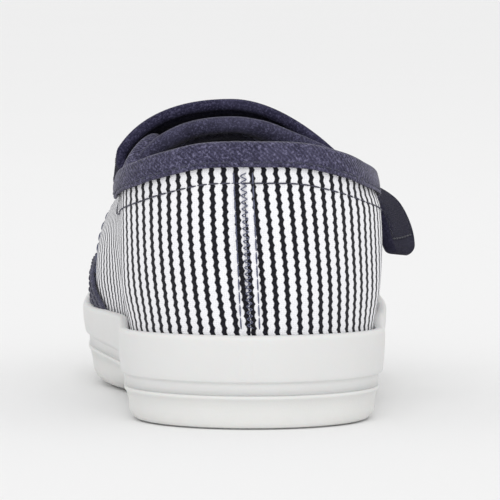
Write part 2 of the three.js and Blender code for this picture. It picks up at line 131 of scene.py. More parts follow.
# y, bulge, steep share, shoulder
MEDIAL_WALL = Table(
    (0, 4, 0.5, 0.9),
    (27, 5.2, 0.5, 0.95),
    (48, 5.6, 0.66, 0.94),
    (72, 5.2, 0.78, 0.79),
    (92, 3.1, 0.77, 0.55),
    (108, -1.6, 0.6, 0.56),
    (128, 1.6, 0.68, 0.58),
    (160, 2, 0.8, 0.64),
)
LATERAL_WALL = Table(
    (0, 4, 0.5, 0.9),
    (27, 4.5, 0.42, 0.83),
    (48, 4.4, 0.48, 0.66),
    (72, 4, 0.52, 0.42),
    (92, 1.2, 0.57, 0.46),
    (108, -1.6, 0.62, 0.58),
    (128, 0.2, 0.68, 0.6),
    (160, 2, 0.8, 0.64),
)
# y, height of the canvas edge
COLLAR = Table((0, 54.3), (7, 52.2), (16, 49.6), (30, 47.2), (46, 46), (60, 46.8), (72, 49.2))
# place across the instep, lift of the strap's back edge, further lift of its front edge
STRAP_LIFT = Table(
    (-0.5, 0.35, 0),
    (-0.485, 0.6, 0),
    (-0.44, 1.8, -0.35),
    (-0.2, 1.6, -0.2),
    (0, 1.6, 0),
    (0.36, 1.6, 0.2),
    (0.5, 2.2, 2.8),
    (0.6, 2.2, 5.6),
    (0.715, 1.6, 6.2),
)


# ---------------------------------------------------------------- the last
def unit(v):
    return v / np.maximum(np.linalg.norm(v, axis=-1, keepdims=True), 1e-12)


def lerp(a, b, share):
    return a + (b - a) * share


def smooth(x, low, high):
    u = np.clip((x - low) / (high - low), 0, 1)
    return u * u * (3 - 2 * u)


def hump(x, width):
    return np.exp(-((x / width) ** 2))


def wrap(s):
    return (np.asarray(s, float) + 1) % 2 - 1


def station(s):
    return LENGTH * (1 - np.cos(np.pi * np.abs(s))) / 2


def place_of(y):
    return np.arccos(1 - 2 * np.asarray(y, float) / LENGTH) / np.pi


def outline(place):
    s = wrap(place)
    y = station(s)
    medial, lateral = PLAN(y)
    heel = np.sqrt(1 - np.clip(1 - y / HEEL_ROUND, 0, 1) ** 2)
    past = np.clip((y - LENGTH + TOE_ROUND) / TOE_ROUND, 0, 1)
    toe = (1 - past**TOE_POWER) ** (1 / TOE_POWER)
    tip = np.where(y < LENGTH / 2, 0, TOE_TIP_X)
    reach = np.where(s < 0, -medial, lateral)
    return np.stack([tip + (reach - tip) * heel * toe, y], -1)


def inside(s, inset):
    """The outline moved inwards."""
    step = 0.004
    along = unit(outline(s + step) - outline(s - step))
    across = np.stack([-along[..., 1], along[..., 0]], -1)
    return outline(s) + across * np.asarray(inset, float)[..., None]


def raised(plan, z):
    return np.concatenate([plan, np.broadcast_to(z, plan.shape[:-1])[..., None]], -1)


def crest(y):
    return np.moveaxis(CREST(y), 0, -1)


def crest_run(y):
    return crest(np.minimum(y + 1, LENGTH)) - crest(np.minimum(y, LENGTH - 1) - 1)


def crest_fall(y):
    along = crest_run(y)
    return smooth(y, 72, 108) * along[..., 2] / along[..., 1]


def rib(place, g):
    """The upper's outer face before its creases."""
    s, g = np.broadcast_arrays(wrap(place), np.asarray(g, float))
    y = station(s)
    _, _, band, foxing = SOLE(y)
    foot = raised(inside(s, FOXING_WALL + FOXING_BATTER + GAP), band + GAP)
    rim = raised(inside(s, FOXING_WALL + GAP), foxing)
    bulge, steep, shoulder = np.where(s > 0, LATERAL_WALL(y), MEDIAL_WALL(y))
    top = crest(y)
    out = unit(inside(s, -1) - inside(s, 0))
    knee = rim + raised(out * bulge[..., None], steep * (top[..., 2] - rim[..., 2]))
    reach = (rim - top)[..., :2] * shoulder[..., None]
    turn = top + raised(reach, reach[..., 1] * crest_fall(y))
    t = ((g - FOOT_SHARE) / (1 - FOOT_SHARE))[..., None]
    curve = (1 - t) ** 3 * rim + 3 * (1 - t) ** 2 * t * knee + 3 * (1 - t) * t**2 * turn + t**3 * top
    low = lerp(foot, rim, (g / FOOT_SHARE)[..., None])
    return np.where((g < FOOT_SHARE)[..., None], low, curve)


def normal(s, g):
    s, g = np.broadcast_arrays(np.asarray(s, float), np.asarray(g, float))
    ds, dg = 0.003, 0.0005
    around = rib(s + ds, g) - rib(s - ds, g)
    up = rib(s, g + dg) - rib(s, np.where(g >= FOOT_SHARE, g - dg, g))
    side = unit(np.cross(around, up))
    run = crest_run(station(wrap(s)))
    over = unit(np.stack([0 * run[..., 0], -run[..., 2], run[..., 1]], -1))
    return np.where((g > 0.9999)[..., None], over, side)


# ---------------------------------------------------------------- relief of the cloth
# the felled seam at the back of the heel: its offset at a level, and how far it leans over its height
HEEL_SEAM = {"offset": -0.6, "level": 19, "lean": -1.35, "height": 29.6}
SEAM_HALF = 1.9  # half its width
# y where the quarters end over the vamp, at the foxing and at the throat, and the places across the shoe
# between which it changes
VAMP_SEAM = {"foot": 97, "top": 101, "foot_place": 0.88, "run": 0.68}
# The quarters' stripes from the heel seam on.
STRIPES = {
    "level": 42.3,  # height where the first stripe's offset is given
    "drop": 21.3,  # how far below that its sideways fall is given
    "medial": 5.4,
    "medial_fall": 1.9,
    "lateral": 2.7,
    "lateral_fall": 1.8,
    "lateral_pitch": 2.3,
}
RIB_LENGTH = 58  # mean length of a rib, which turns a place across the shoe into millimetres

# Creases: each runs from (y, c) to (y, c), c across the shoe from -1 at the medial foot over 0 on the crest
# to 1 at the lateral foot. Height is in millimetres, a trough below 0.
CREASES = (
    # y, c, y, c, height, half width
    (107, -0.62, 111, -0.1, -0.55, 3.2),
    (111, -0.1, 108, 0.5, -0.5, 3.4),
    (102, -0.78, 113, -0.5, 0.35, 4.0),
    (100, 0.8, 112, 0.46, -0.45, 3.6),
    (94, -0.84, 105, -0.56, -0.4, 3.4),
    (56, 0.84, 84, 0.74, -0.5, 4.6),
    (52, -0.84, 82, -0.76, -0.5, 4.6),
    (24, 0.84, 50, 0.66, -0.35, 5.0),
    (22, -0.62, 46, -0.82, -0.4, 5.0),
    (38, 0.62, 60, 0.7, 0.35, 5.0),
    (40, -0.62, 62, -0.68, 0.3, 5.0),
    (16, 0.78, 30, 0.74, 0.25, 4.4),
    (16, -0.8, 30, -0.84, 0.25, 4.4),
)


def heel_seam(z):
    """How far the seam lies from the back of the heel, at a height."""
    return HEEL_SEAM["offset"] + HEEL_SEAM["lean"] * (z - HEEL_SEAM["level"]) / HEEL_SEAM["height"]


def vamp_seam(c):
    climbed = (VAMP_SEAM["foot_place"] - np.abs(c)) / VAMP_SEAM["run"]
    return lerp(VAMP_SEAM["foot"], VAMP_SEAM["top"], np.clip(climbed, 0, 1))


def relief(s, g):
    """How far the cloth stands off the last: slack, creases, heel seam and the quarters' front edge."""
    s, g = np.broadcast_arrays(wrap(s), np.asarray(g, float))
    y = station(s)
    c = np.sign(s) * (1 - g)
    p = rib(s, g)
    height = 0.09 * np.sin(p[..., 1] / 5.1 + p[..., 2] / 7.3) * np.sin(p[..., 2] / 4.7 - p[..., 0] / 8.9)
    for y0, c0, y1, c1, rise, width in CREASES:
        run = np.array([y1 - y0, (c1 - c0) * RIB_LENGTH])
        away = np.stack([y - y0, (c - c0) * RIB_LENGTH], -1)
        t = (away @ run) / (run @ run)
        nearest_point = np.clip(t, 0, 1)[..., None] * run
        far = np.linalg.norm(away - nearest_point, axis=-1)
        height = height + rise * hump(far, width) * smooth(np.minimum(t, 1 - t), -0.25, 0.3)
    from_seam = p[..., 0] - heel_seam(p[..., 2])
    raised_band = 0.42 * (1 - smooth(np.abs(from_seam), SEAM_HALF - 0.3, SEAM_HALF + 0.5))
    ridge = raised_band - 0.35 * hump(from_seam, 0.4)
    height = height + ridge * (y < 8) * smooth(g, FOOT_SHARE - 0.01, FOOT_SHARE + 0.02)
    # the canvas is drawn in under the tape on the lateral side
    beside_heel = smooth(y, 4, 16) * (1 - smooth(y, 50, 64))
    height = height - 0.9 * smooth(p[..., 2], 41, 46.5) * (s > 0) * beside_heel
    quarter = 0.4 * (1 - smooth(y - vamp_seam(c), -0.5, 0.3))
    return height * smooth(g, FOOT_SHARE - 0.02, FOOT_SHARE + 0.06) + quarter * smooth(g, FOOT_SHARE, 0.2)


def surface(s, g, out=0.0):
    height = relief(s, g) + out
    return rib(s, g) + normal(s, g) * height[..., None]


def across(y, c, out):
    return surface(np.where(c < 0, -1, 1) * place_of(y), 1 - np.abs(c), out)


def nearest(target, s, g):
    """The place on the last that is nearest to a point, found from a first guess."""
    ds, dg = 0.002, 0.0005
    for _ in range(6):
        miss = target - rib(s, g)
        around = (rib(s + ds, g) - rib(s - ds, g)) / (2 * ds)
        up = (rib(s, g) - rib(s, g - dg)) / dg
        aa, au, uu = (around * around).sum(-1), (around * up).sum(-1), (up * up).sum(-1)
        ma, mu = (miss * around).sum(-1), (miss * up).sum(-1)
        scale = aa * uu - au * au
        s = s + (ma * uu - mu * au) / scale
        g = g + (mu * aa - ma * au) / scale
    return s, g


def topline(s):
    """Share of the rib at s that is below the canvas edge, or 1 in front of the throat."""
    y = station(s)
    (height,) = COLLAR(y)
    throat = np.clip((y - THROAT_START) / (THROAT_END - THROAT_START), 0, 1)
    half = THROAT_HALF_WIDTH * np.sqrt(1 - throat**2)

    def solve(below):
        low, high = np.full_like(y, FOOT_SHARE), np.ones_like(y)
        for _ in range(40):
            middle = (low + high) / 2
            under = below(rib(s, middle))
            low, high = np.where(under, middle, low), np.where(under, high, middle)
        return low

    collar = solve(lambda p: p[..., 2] < height)
    facing = solve(lambda p: np.abs(p[..., 0] - crest(y)[..., 0]) > half)
    return np.where(y >= THROAT_END, 1, lerp(collar, facing, smooth(y, 60, 74)))


# ---------------------------------------------------------------- meshes
ROW_SHIFT = np.array(
    [
        1000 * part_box("foxing")[1][0] - outline(np.linspace(-1, 1, 4001))[:, 0].max(),
        1000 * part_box("foxing")[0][1],
        0,
    ]
)


def in_row(points):
    return (np.asarray(points, float) + ROW_SHIFT) / 1000


def quads(columns, rows, loop=False, ring=False):
    """Faces over a grid. loop joins its last column to its first, and ring its last row to its first."""
    i = np.arange(columns if loop else columns - 1)[:, None]
    j = np.arange(rows if ring else rows - 1)[None, :]
    following, above = (i + 1) % columns, (j + 1) % rows
    corners = [i * rows + j, following * rows + j, following * rows + above, i * rows + above]
    return np.stack(corners, -1).reshape(-1, 4)


def piece(name, points, faces, slot, materials, finishes=None, cloth=None, sharp=None, **fields):
    """A smooth mesh that rides on the shoe. cloth and the other fields are vectors at its points."""
    mesh = bpy.data.meshes.new(name)
    faces = faces if isinstance(faces, list) else faces.tolist()
    mesh.from_pydata(in_row(points).reshape(-1, 3).tolist(), [], faces)
    if cloth is not None:
        fields["cloth"] = cloth
    for field, values in fields.items():
        attribute = mesh.attributes.new(field, "FLOAT_VECTOR", "POINT")
        attribute.data.foreach_set("vector", np.asarray(values, np.float32).ravel())
    for material in materials:
        mesh.materials.append(material)
    if finishes is not None:
        mesh.polygons.foreach_set("material_index", np.asarray(finishes, np.int32))
    form = bmesh.new()
    form.from_mesh(mesh)
    bmesh.ops.remove_doubles(form, verts=form.verts, dist=1e-6)
    bmesh.ops.dissolve_degenerate(form, edges=form.edges, dist=1e-7)
    bmesh.ops.recalc_face_normals(form, faces=form.faces)
    form.to_mesh(mesh)
    form.free()
    mesh.shade_smooth()
    if sharp:
        mesh.set_sharp_from_angle(angle=np.radians(sharp))
    made = bpy.data.objects.new(name, mesh)
    bpy.context.scene.collection.objects.link(made)
    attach(made, "root")
    return made


def three(a, b, c=0.0):
    return np.stack(np.broadcast_arrays(a, b, c), -1)


def run_length(points):
    """Distance along a line of points, from its start."""
    steps = np.linalg.norm(np.diff(points, axis=0), axis=-1)
    return np.concatenate([np.zeros_like(steps[:1]), np.cumsum(steps, axis=0)])


def side_places(step, seam_step=None):
    """Places from the heel's back to the toe, evenly spaced, and closer together beside the heel seam."""
    fine = np.linspace(0, 1, 6001)
    run = run_length(outline(fine))
    near = np.arange(0, 6, seam_step) if seam_step else np.array([0.0])
    rest = np.linspace(6 if seam_step else step, run[-1], int(run[-1] / step))
    throat = place_of(lerp(THROAT_START, THROAT_END, np.sin(np.linspace(0, 1, 40) * np.pi / 2)))
    side = np.concatenate([np.interp(np.concatenate([near, rest]), run, fine), throat if seam_step else []])
    return np.unique(np.round(side, 6))


def around_shoe(side):
    return np.concatenate([-side[1:][::-1], side[:-1]])


# ---------------------------------------------------------------- threads
def stitches(name, starts, ends, normals, radius, slot, material):
    """Short threads from starts to ends in one mesh. Each rises out of the cloth and dips back into it."""
    stations, sides, sink = 7, 6, 0.3
    t = np.linspace(0, 1, stations)
    angle = np.arange(sides) / sides * 2 * np.pi
    rise = radius * (np.sin(np.pi * t) ** 0.6 * (1 + sink) - sink)
    swell = radius * (0.45 + 0.55 * np.sin(np.pi * t) ** 0.5)
    centre = starts[:, None] + (ends - starts)[:, None] * t[:, None] + normals[:, None] * rise[:, None]
    side = unit(np.cross(ends - starts, normals))
    ring = side[:, None] * np.cos(angle)[:, None] + normals[:, None] * np.sin(angle)[:, None]
    points = centre[:, :, None] + ring[:, None] * swell[:, None, None]
    one = quads(stations, sides, ring=True)
    size = stations * sides
    faces = (one[None] + size * np.arange(len(starts))[:, None, None]).reshape(-1, 4).tolist()
    first = np.arange(sides)
    for k in range(len(starts)):
        faces.append((first + k * size).tolist())
        faces.append((first[::-1] + (k + 1) * size - sides).tolist())
    length = np.linalg.norm(ends - starts, axis=-1)[:, None, None] * t[:, None]
    each = np.arange(len(starts))[:, None, None] * 1.7
    cloth = three(length, angle * radius + np.zeros_like(length), each)
    return piece(name, points.reshape(-1, 3), faces, slot, [material], cloth=cloth.reshape(-1, 3))


def seam_line(points, normals, pitch, share=0.86):
    """Starts, ends and normals of stitches along a line of points."""
    run = run_length(points)
    count = max(1, int(run[-1] / pitch))
    at = np.arange(count) * run[-1] / count

    def on(values, where):
        return np.stack([np.interp(where, run, column) for column in values.T], -1)

    step = run[-1] / count
    return on(points, at), on(points, at + share * step), unit(on(normals, at + step / 2))


def join_lines(lines):
    return [np.concatenate(group) for group in zip(*lines)]


def sewn_lines(at, ways, out, pitch, side=1):
    """Stitches along ways (u, v) over a sheet, out from its middle face, raised towards one side of it."""
    lines = []
    for u, v in ways:
        up = unit(at(u, v, side * 2.0) - at(u, v, side * 1.0))
        lines.append(seam_line(at(u, v, out), up, pitch))
    return join_lines(lines)


# ---------------------------------------------------------------- materials
def tone(red, green, blue):
    """A colour given as 0 to 255 in sRGB."""
    share = np.array([red, green, blue]) / 255
    linear = np.where(share <= 0.04045, share / 12.92, ((share + 0.055) / 1.055) ** 2.4)
    return (*linear.tolist(), 1.0)


class Finish:
    """A material's nodes, with a short call for each kind."""

    def __init__(self, name, **shader):
        self.material = bpy.data.materials.new(name)
        self.material.use_nodes = True
        self.tree = self.material.node_tree
        self.tree.nodes.clear()
        self.shader = self.tree.nodes.new("ShaderNodeBsdfPrincipled")
        output = self.tree.nodes.new("ShaderNodeOutputMaterial")
        self.tree.links.new(self.shader.outputs[0], output.inputs[0])
        for socket, value in shader.items():
            self.put(self.shader.inputs[socket.replace("_", " ")], value)
        coordinates = self.tree.nodes.new("ShaderNodeTexCoord")
        place = self.node("ShaderNodeVectorMath", operation="SCALE")
        self.put(place.inputs[0], coordinates.outputs["Object"])
        self.put(place.inputs["Scale"], 1000)
        self.place = place.outputs["Vector"]

    def put(self, socket, value):
        if isinstance(value, bpy.types.NodeSocket):
            self.tree.links.new(value, socket)
        else:
            socket.default_value = value

    def node(self, kind, **settings):
        made = self.tree.nodes.new(kind)
        for setting, value in settings.items():
            setattr(made, setting, value)
        return made

    def math(self, operation, *values):
        made = self.node("ShaderNodeMath", operation=operation)
        for socket, value in zip(made.inputs, values):
            self.put(socket, value)
        return made.outputs[0]

    def parts(self, name):
        """The three numbers of a field that the mesh carries."""
        field = self.node("ShaderNodeAttribute", attribute_name=name)
        split = self.node("ShaderNodeSeparateXYZ")
        self.tree.links.new(field.outputs["Vector"], split.inputs[0])
        return split.outputs[0], split.outputs[1], split.outputs[2]

    def noise(self, size, detail=2.0, roughness=0.5):
        """Noise with features of a size in millimetres."""
        made = self.node("ShaderNodeTexNoise")
        self.put(made.inputs["Vector"], self.place)
        self.put(made.inputs["Scale"], 1 / size)
        self.put(made.inputs["Detail"], detail)
        self.put(made.inputs["Roughness"], roughness)
        return made.outputs[0]

    def ramp(self, value, low, high, start=0.0, end=1.0):
        made = self.node("ShaderNodeMapRange", interpolation_type="SMOOTHSTEP")
        for socket, number in zip(made.inputs, (value, low, high, start, end)):
            self.put(socket, number)
        return made.outputs[0]

    def mix(self, share, a, b):
        made = self.node("ShaderNodeMix", data_type="RGBA")
        self.put(made.inputs[0], share)
        self.put(made.inputs[6], a)
        self.put(made.inputs[7], b)
        return made.outputs[2]

    def pick(self, choice, a, b):
        """b where choice is 1, a where it is 0."""
        made = self.node("ShaderNodeMix", data_type="FLOAT")
        self.put(made.inputs[0], choice)
        self.put(made.inputs[2], a)
        self.put(made.inputs[3], b)
        return made.outputs[0]

    def wave(self, value, pitch):
        """A wave from 0 to 1 with its tops a pitch apart."""
        turned = self.math("COSINE", self.math("MULTIPLY", value, 2 * np.pi / pitch))
        return self.math("MULTIPLY_ADD", turned, 0.5, 0.5)

    def total(self, *values):
        made = values[0]
        for value in values[1:]:
            made = self.math("ADD", made, value)
        return made

    def scaled(self, value, factor):
        return self.math("MULTIPLY", value, factor)

    def finish(self, colour, height, distance, roughness):
        """Sets the colour, the relief (height times distance in millimetres) and the roughness."""
        self.put(self.shader.inputs["Base Color"], colour)
        bump = self.node("ShaderNodeBump")
        self.put(bump.inputs["Strength"], 1.0)
        self.put(bump.inputs["Distance"], distance / 1000)
        self.put(bump.inputs["Height"], height)
        self.tree.links.new(bump.outputs[0], self.shader.inputs["Normal"])
        self.put(self.shader.inputs["Roughness"], roughness)
        return self.material


def plain_weave(look, u, v, pitch):
    """Threads that pass over and under each other, 0 to 1."""
    warp, weft = look.wave(u, pitch), look.wave(v, pitch)
    over_u = look.wave(u, 2 * pitch)
    over_v = look.wave(v, 2 * pitch)
    check = look.math("ABSOLUTE", look.math("SUBTRACT", over_u, over_v))
    return look.pick(check, warp, weft)


def striped_canvas():
    look = Finish("striped_canvas", Sheen_Weight=0.15, Sheen_Roughness=0.5, Specular_IOR_Level=0.2)
    medial, lateral, vamp = look.parts("stripe")
    from_seam, from_vamp, along = look.parts("panel")
    quarter = look.pick(look.math("GREATER_THAN", from_seam, 0.0), medial, lateral)
    phase = look.pick(look.math("GREATER_THAN", from_vamp, 0.0), quarter, vamp)
    across_stripe = look.scaled(phase, STRIPE_PITCH)
    uneven = look.math("SUBTRACT", look.noise(1.3, 2), 0.5)
    off = look.scaled(look.math("SUBTRACT", phase, look.math("ROUND", phase)), STRIPE_PITCH)
    bead = 0.8
    zigzag = look.math("SUBTRACT", look.scaled(look.math("PINGPONG", along, bead), 1 / bead), 0.5)
    slanted = look.total(off, look.scaled(zigzag, 0.32), look.scaled(uneven, 0.22))
    away = look.math("ABSOLUTE", slanted)
    knot = look.wave(along, bead)
    half = look.math("MULTIPLY_ADD", knot, 0.07, 0.46)
    white_share = look.ramp(look.math("SUBTRACT", away, half), -0.09, 0.09)
    weave = plain_weave(look, across_stripe, along, 0.4)
    fibre = look.noise(0.25, 3, 0.6)
    patchy = look.noise(14, 2)
    white = look.mix(look.ramp(fibre, 0.3, 0.7), tone(240, 240, 245), tone(252, 252, 253))
    # painted shade between the threads: the white turns grey-blue in the weave's hollows
    white = look.mix(look.scaled(look.ramp(weave, 0.55, 0.0), 0.3), white, tone(196, 196, 208))
    white = look.mix(look.scaled(patchy, 0.12), white, tone(226, 226, 230))
    dark = look.mix(look.ramp(fibre, 0.35, 0.75), tone(8, 8, 13), tone(22, 22, 32))
    dark = look.mix(look.scaled(look.ramp(knot, 0.4, 1.0), 0.3), dark, tone(40, 40, 54))
    colour = look.mix(white_share, dark, white)
    cord = look.math("MULTIPLY_ADD", knot, -0.5, 1.1)
    raised_cord = look.scaled(look.math("SUBTRACT", 1.0, white_share), cord)
    height = look.total(look.scaled(weave, 0.35), look.scaled(raised_cord, 0.8), look.scaled(fibre, 0.3))
    roughness = look.math("MULTIPLY_ADD", fibre, 0.15, 0.8)
    return look.finish(colour, height, 0.12, roughness)


def navy_cloth(name, tones, pitch, twill, sheen, face=None, shaded_end=None, shine=0.25):
    """Woven navy cloth in three tones: middle, light and deep. twill leans its threads into diagonal lines.
    face is (width, strength): how wide the piece is, and how strongly painted shade darkens it inside its
    rolled border, which keeps the cloth's own tone like a lit rim.
    The shaded end is how far along the piece that painted shade darkens its whole width."""
    base, light, deep = (tone(*rgb) for rgb in tones)
    look = Finish(name, Sheen_Weight=sheen, Sheen_Roughness=0.4, Specular_IOR_Level=shine)
    u, v, _ = look.parts("cloth")
    slub = look.noise(0.5, 3, 0.65)
    lean = look.total(look.scaled(u, 0.7071), look.scaled(v, 0.7071), look.scaled(slub, 0.35))
    lines = look.wave(lean, pitch)
    loose = look.scaled(slub, 0.3)
    weave = plain_weave(look, look.total(u, loose), look.total(v, loose), pitch * 0.7)
    cloth = look.pick(twill, weave, lines)
    fleck = look.noise(pitch * 0.9, 3, 0.75)
    worn = look.noise(9, 3)
    colour = look.mix(look.ramp(cloth, 0.1, 0.95, 0.35, 1.0), deep, base)
    colour = look.mix(look.scaled(look.ramp(fleck, 0.5, 0.66), 0.8), colour, light)
    colour = look.mix(look.scaled(look.ramp(fleck, 0.47, 0.35), 0.8), colour, deep)
    colour = look.mix(look.scaled(look.ramp(worn, 0.45, 0.75), 0.25), colour, light)
    # painted shade: the cloth turns near black inside its rolled border, and over its whole width past the
    # shaded end
    if face:
        width, shade_strength = face
        from_middle = look.math("ABSOLUTE", look.math("SUBTRACT", v, width / 2))
        inner = look.ramp(from_middle, width / 2 - 1.6, width / 2 - 3.2)
        if shaded_end:
            inner = look.math("MAXIMUM", inner, look.ramp(u, shaded_end - 6, shaded_end))
        colour = look.mix(look.scaled(inner, shade_strength), colour, tone(14, 14, 24))
    height = look.total(look.scaled(cloth, 0.8), look.scaled(fleck, 0.5), look.scaled(slub, 0.3))
    roughness = look.math("MULTIPLY_ADD", fleck, 0.2, 0.72)
    return look.finish(colour, height, 0.1, roughness)


def white_rubber(name, base, shade):
    look = Finish(name, Specular_IOR_Level=0.4, Subsurface_Weight=0.05, Subsurface_Scale=0.002)
    grain = look.noise(0.35, 3, 0.6)
    cloud = look.noise(22, 3)
    scuff = look.noise(3.0, 5, 0.7)
    height_over_floor = look.node("ShaderNodeSeparateXYZ")
    look.put(height_over_floor.inputs[0], look.place)
    low = look.ramp(height_over_floor.outputs[2], 4.5, 0.0)
    dust = look.math("MULTIPLY", low, look.ramp(scuff, 0.42, 0.7))
    colour = look.mix(look.scaled(look.ramp(cloud, 0.35, 0.7), 0.5), base, shade)
    colour = look.mix(look.scaled(dust, 0.12), colour, tone(206, 204, 198))
    colour = look.mix(look.scaled(look.ramp(scuff, 0.66, 0.8), 0.15), colour, tone(220, 219, 217))
    height = look.total(look.scaled(grain, 0.5), look.scaled(scuff, 0.5), look.scaled(cloud, 0.6))
    roughness = look.math("MULTIPLY_ADD", scuff, 0.25, 0.36)
    return look.finish(colour, height, 0.05, roughness)


def lining_cloth(name, base, light):
    look = Finish(name, Sheen_Weight=0.2, Sheen_Roughness=0.5, Specular_IOR_Level=0.2)
    u, v, _ = look.parts("cloth")
    weave = plain_weave(look, u, v, 0.55)
    fuzz = look.noise(0.4, 3, 0.7)
    flat = look.noise(11, 2)
    colour = look.mix(look.ramp(weave, 0.2, 0.9), base, light)
    colour = look.mix(look.scaled(look.ramp(fuzz, 0.5, 0.75), 0.4), colour, light)
    colour = look.mix(look.scaled(look.ramp(flat, 0.45, 0.7), 0.35), colour, base)
    height = look.total(look.scaled(weave, 0.6), look.scaled(fuzz, 0.7))
    return look.finish(colour, height, 0.12, look.math("MULTIPLY_ADD", fuzz, 0.15, 0.8))


def nylon_pile(name, base, light, size):
    look = Finish(name, Sheen_Weight=0.35, Sheen_Roughness=0.35, Specular_IOR_Level=0.35)
    u, v, _ = look.parts("cloth")
    rows = look.math("MULTIPLY", look.wave(u, size), look.wave(v, size))
    fuzz = look.noise(size * 0.5, 4, 0.75)
    colour = look.mix(look.ramp(fuzz, 0.35, 0.7), base, light)
    height = look.total(rows, look.scaled(fuzz, 1.2))
    return look.finish(colour, height, 0.25, look.math("MULTIPLY_ADD", fuzz, 0.2, 0.6))


def thread(name, base, light):
    look = Finish(name, Sheen_Weight=0.3, Sheen_Roughness=0.3, Specular_IOR_Level=0.3)
    u, v, each = look.parts("cloth")
    twist = look.wave(look.total(u, look.scaled(v, 1.4)), 0.32)
    along = look.noise(0.8, 2, 0.5)
    colour = look.mix(look.ramp(twist, 0.1, 0.9), base, light)
    own = look.math("FRACT", look.scaled(each, 0.618))
    colour = look.mix(look.scaled(look.math("MULTIPLY", own, along), 0.5), colour, light)
    height = look.total(twist, look.scaled(along, 0.4))
    return look.finish(colour, height, 0.06, look.math("MULTIPLY_ADD", twist, 0.15, 0.6))


# ---------------------------------------------------------------- pieces of the upper
SEAM_STEP = 0.25
SIDE = side_places(0.85, SEAM_STEP)
ROUND = around_shoe(SIDE)
PLAIN_ROUND = around_shoe(side_places(0.9))
ZERO = int(np.argmin(np.abs(ROUND)))


def arc_from_heel(g):
    """Signed distance round the wall from the back of the heel. g holds shares for each column of ROUND."""
    levels = np.linspace(FOOT_SHARE, 1, 34)
    run = run_length(rib(ROUND[:, None], levels[None, :]))
    run = run - run[ZERO]
    return np.stack([np.interp(row, levels, column) for row, column in zip(g, run)])


def striped_upper():
    """The hollow canvas upper: striped cloth outside, lining inside."""
    top = topline(ROUND)
    climb = np.linspace(0, 1, 84)
    outer_rows = np.concatenate([[0], lerp(FOOT_SHARE, 1, climb)])
    inner_rows = np.concatenate([lerp(FOOT_SHARE, 1, np.linspace(1, 0, 26)), [0]])

    def shares(rows):
        above = (rows - FOOT_SHARE) / (1 - FOOT_SHARE)
        return np.where(rows < FOOT_SHARE, 0, FOOT_SHARE + (top[:, None] - FOOT_SHARE) * above)

    g_out, g_in = shares(outer_rows), shares(inner_rows)
    s = ROUND[:, None]
    outside, within = surface(s, g_out), surface(s, g_in, -WALL)
    g = np.concatenate([g_out, g_in], 1)
    points = np.concatenate([outside, within], 1)
    columns, rows = g.shape
    faces = quads(columns, rows, loop=True, ring=True).reshape(columns, rows, 4)
    split = len(outer_rows)
    closed = top >= 1
    keep = np.ones((columns, rows), bool)
    keep[:, split - 1] = ~(closed & np.roll(closed, -1))
    lined = np.zeros((columns, rows), int)
    lined[:, split - 1 :] = 1
    bare = rib(s, g)
    run = arc_from_heel(g)
    height = bare[..., 2]
    y = station(s) + 0 * g
    c = np.sign(s) * (1 - g)
    fall = (STRIPES["level"] - height) / STRIPES["drop"]
    moved = STRIPES["medial_fall"] * np.sign(fall) * np.abs(fall) ** 1.6
    medial = (run + STRIPES["medial"] - moved) / STRIPE_PITCH
    moved = STRIPES["lateral_fall"] * fall * (1.25 - 0.25 * fall)
    lateral = (run - STRIPES["lateral"] - moved) / STRIPES["lateral_pitch"]
    levels = np.linspace(0, 1, 60)
    up = run_length(np.swapaxes(rib(s, levels[None]), 0, 1))
    climbed = np.stack([np.interp(row, levels, column) for row, column in zip(g, up.T)])
    vamp = np.sign(s) * (up[-1][:, None] - climbed) / STRIPE_PITCH
    from_vamp = y - vamp_seam(c)
    along = np.where(from_vamp > 0, y, climbed)
    return piece(
        "striped_upper",
        points,
        faces[keep].reshape(-1, 4),
        "canvas",
        [FINISH["canvas"], FINISH["lining"]],
        finishes=lined[keep].ravel(),
        cloth=three(run, climbed),
        stripe=three(medial, lateral, vamp),
        panel=three(run - heel_seam(height), from_vamp, along),
    )


class CollarEdge:
    """The canvas edge round collar and throat, as a loop."""

    def __init__(self):
        side = SIDE[station(SIDE) < THROAT_END - 0.02]
        self.s = np.concatenate([-side[1:][::-1], side, [place_of(THROAT_END)]])
        self.g = topline(self.s)
        self.edge = rib(self.s, self.g)
        along = unit(np.roll(self.edge, -1, 0) - np.roll(self.edge, 1, 0))
        self.down = unit(np.cross(along, normal(self.s, self.g)))
        self.run = run_length(self.edge)

    def below(self, depth):
        """The place on the last this far below the edge."""
        return nearest(self.edge + self.down * depth, self.s, self.g)

    def over(self, out, depth):
        """A point this far outside the cloth and below its edge. A depth below 0 is over the edge."""
        if depth > 0.05:
            s, g = self.below(depth)
            return surface(s, g, out)
        return surface(self.s, self.g, out) + self.down * depth


# depth of its legs, half its thickness, half its width over the edge, how far it stands over the edge, and
# the depth of its row of stitches
TAPE = {"depth": 4.0, "half": 0.35, "reach": 1.65, "rise": 0.8, "row": 3.1}


